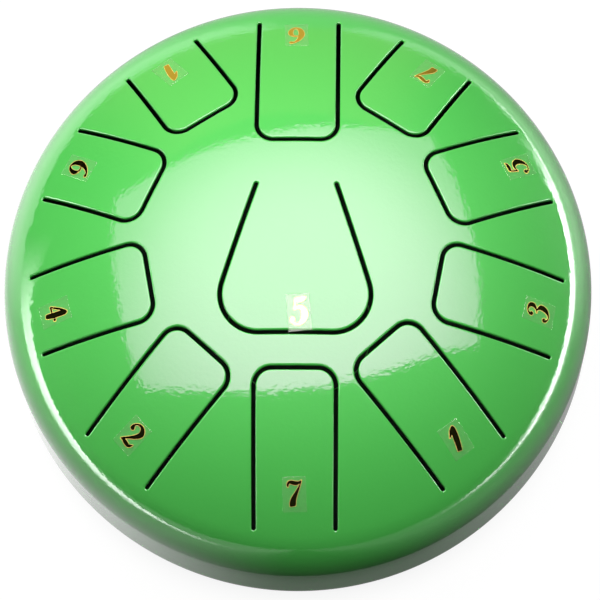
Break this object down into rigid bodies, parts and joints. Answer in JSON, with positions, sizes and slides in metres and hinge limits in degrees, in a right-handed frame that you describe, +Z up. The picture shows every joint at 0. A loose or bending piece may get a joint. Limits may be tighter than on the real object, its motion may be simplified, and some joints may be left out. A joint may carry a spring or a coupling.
{
  "type": "steel tongue drum",
  "caption": "Round hollow steel drum whose domed top is slotted into tongues that ring when struck, each with a numbered clear film, on rubber feet.",
  "frame": {"origin": "on the floor under the drum's axis", "axes": "+Z up along the drum's axis; +Y towards the longest outer tongue, low 6, at the back as a player sits; +X to the player's right"},
  "size_m": [0.254, 0.254, 0.1391],
  "materials": {
    "green_paint": "high-gloss sprayed enamel with slight orange peel",
    "black_rubber": "matt moulded rubber",
    "clear_film": "clear self-adhesive film, glossy",
    "gold_foil": "mirror gold transfer foil"
  },
  "bodies": {
    "drum_shell": {"top_shell": "green_paint", "bottom_shell": "green_paint", "foot_1": "black_rubber", "foot_2": "black_rubber", "foot_3": "black_rubber", "foot_4": "black_rubber"},
    "tongue_low_5": {"tongue_low_5": "green_paint", "film_low_5": "clear_film", "numeral_low_5": "gold_foil"},
    "tongue_low_6": {"tongue_low_6": "green_paint", "film_low_6": "clear_film", "numeral_low_6": "gold_foil"},
    "tongue_low_7": {"tongue_low_7": "green_paint", "film_low_7": "clear_film", "numeral_low_7": "gold_foil"},
    "tongue_mid_1": {"tongue_mid_1": "green_paint", "film_mid_1": "clear_film", "numeral_mid_1": "gold_foil"},
    "tongue_mid_2": {"tongue_mid_2": "green_paint", "film_mid_2": "clear_film", "numeral_mid_2": "gold_foil"},
    "tongue_mid_3": {"tongue_mid_3": "green_paint", "film_mid_3": "clear_film", "numeral_mid_3": "gold_foil"},
    "tongue_mid_4": {"tongue_mid_4": "green_paint", "film_mid_4": "clear_film", "numeral_mid_4": "gold_foil"},
    "tongue_mid_5": {"tongue_mid_5": "green_paint", "film_mid_5": "clear_film", "numeral_mid_5": "gold_foil"},
    "tongue_mid_6": {"tongue_mid_6": "green_paint", "film_mid_6": "clear_film", "numeral_mid_6": "gold_foil"},
    "tongue_mid_7": {"tongue_mid_7": "green_paint", "film_mid_7": "clear_film", "numeral_mid_7": "gold_foil"},
    "tongue_high_1": {"tongue_high_1": "green_paint", "film_high_1": "clear_film", "numeral_high_1": "gold_foil"}
  },
  "joints": [
    {"name": "tongue_low_5_flex", "type": "hinge", "parent": "drum_shell", "child": "tongue_low_5", "pos_m": [0, 0.02767, 0.13597], "axis": [1, 0, 0], "range_deg": [-0.45, 0.45], "stiffness_Nm_per_rad": 199},
    {"name": "tongue_low_6_flex", "type": "hinge", "parent": "drum_shell", "child": "tongue_low_6", "pos_m": [0, 0.11174, 0.10025], "axis": [1, 0, 0], "range_deg": [-0.45, 0.45], "stiffness_Nm_per_rad": 207},
    {"name": "tongue_low_7_flex", "type": "hinge", "parent": "drum_shell", "child": "tongue_low_7", "pos_m": [0, -0.11174, 0.10025], "axis": [-1, 0, 0], "range_deg": [-0.45, 0.45], "stiffness_Nm_per_rad": 212},
    {"name": "tongue_mid_1_flex", "type": "hinge", "parent": "drum_shell", "child": "tongue_mid_1", "pos_m": [0.07477, -0.08304, 0.10025], "axis": [-0.7431, -0.6691, 0], "range_deg": [-0.45, 0.45], "stiffness_Nm_per_rad": 220},
    {"name": "tongue_mid_2_flex", "type": "hinge", "parent": "drum_shell", "child": "tongue_mid_2", "pos_m": [-0.07477, -0.08304, 0.10025], "axis": [-0.7431, 0.6691, 0], "range_deg": [-0.45, 0.45], "stiffness_Nm_per_rad": 233},
    {"name": "tongue_mid_3_flex", "type": "hinge", "parent": "drum_shell", "child": "tongue_mid_3", "pos_m": [0.10991, -0.02017, 0.10025], "axis": [-0.1805, -0.9836, 0], "range_deg": [-0.45, 0.45], "stiffness_Nm_per_rad": 254},
    {"name": "tongue_mid_4_flex", "type": "hinge", "parent": "drum_shell", "child": "tongue_mid_4", "pos_m": [-0.10991, -0.02017, 0.10025], "axis": [-0.1805, 0.9836, 0], "range_deg": [-0.45, 0.45], "stiffness_Nm_per_rad": 264},
    {"name": "tongue_mid_5_flex", "type": "hinge", "parent": "drum_shell", "child": "tongue_mid_5", "pos_m": [0.10127, 0.04722, 0.10025], "axis": [0.4226, -0.9063, 0], "range_deg": [-0.45, 0.45], "stiffness_Nm_per_rad": 281},
    {"name": "tongue_mid_6_flex", "type": "hinge", "parent": "drum_shell", "child": "tongue_mid_6", "pos_m": [-0.10127, 0.04722, 0.10025], "axis": [0.4226, 0.9063, 0], "range_deg": [-0.45, 0.45], "stiffness_Nm_per_rad": 291},
    {"name": "tongue_mid_7_flex", "type": "hinge", "parent": "drum_shell", "child": "tongue_mid_7", "pos_m": [0.05921, 0.09476, 0.10025], "axis": [0.848, -0.5299, 0], "range_deg": [-0.45, 0.45], "stiffness_Nm_per_rad": 315},
    {"name": "tongue_high_1_flex", "type": "hinge", "parent": "drum_shell", "child": "tongue_high_1", "pos_m": [-0.05921, 0.09476, 0.10025], "axis": [0.848, 0.5299, 0], "range_deg": [-0.45, 0.45], "stiffness_Nm_per_rad": 327}
  ]
}
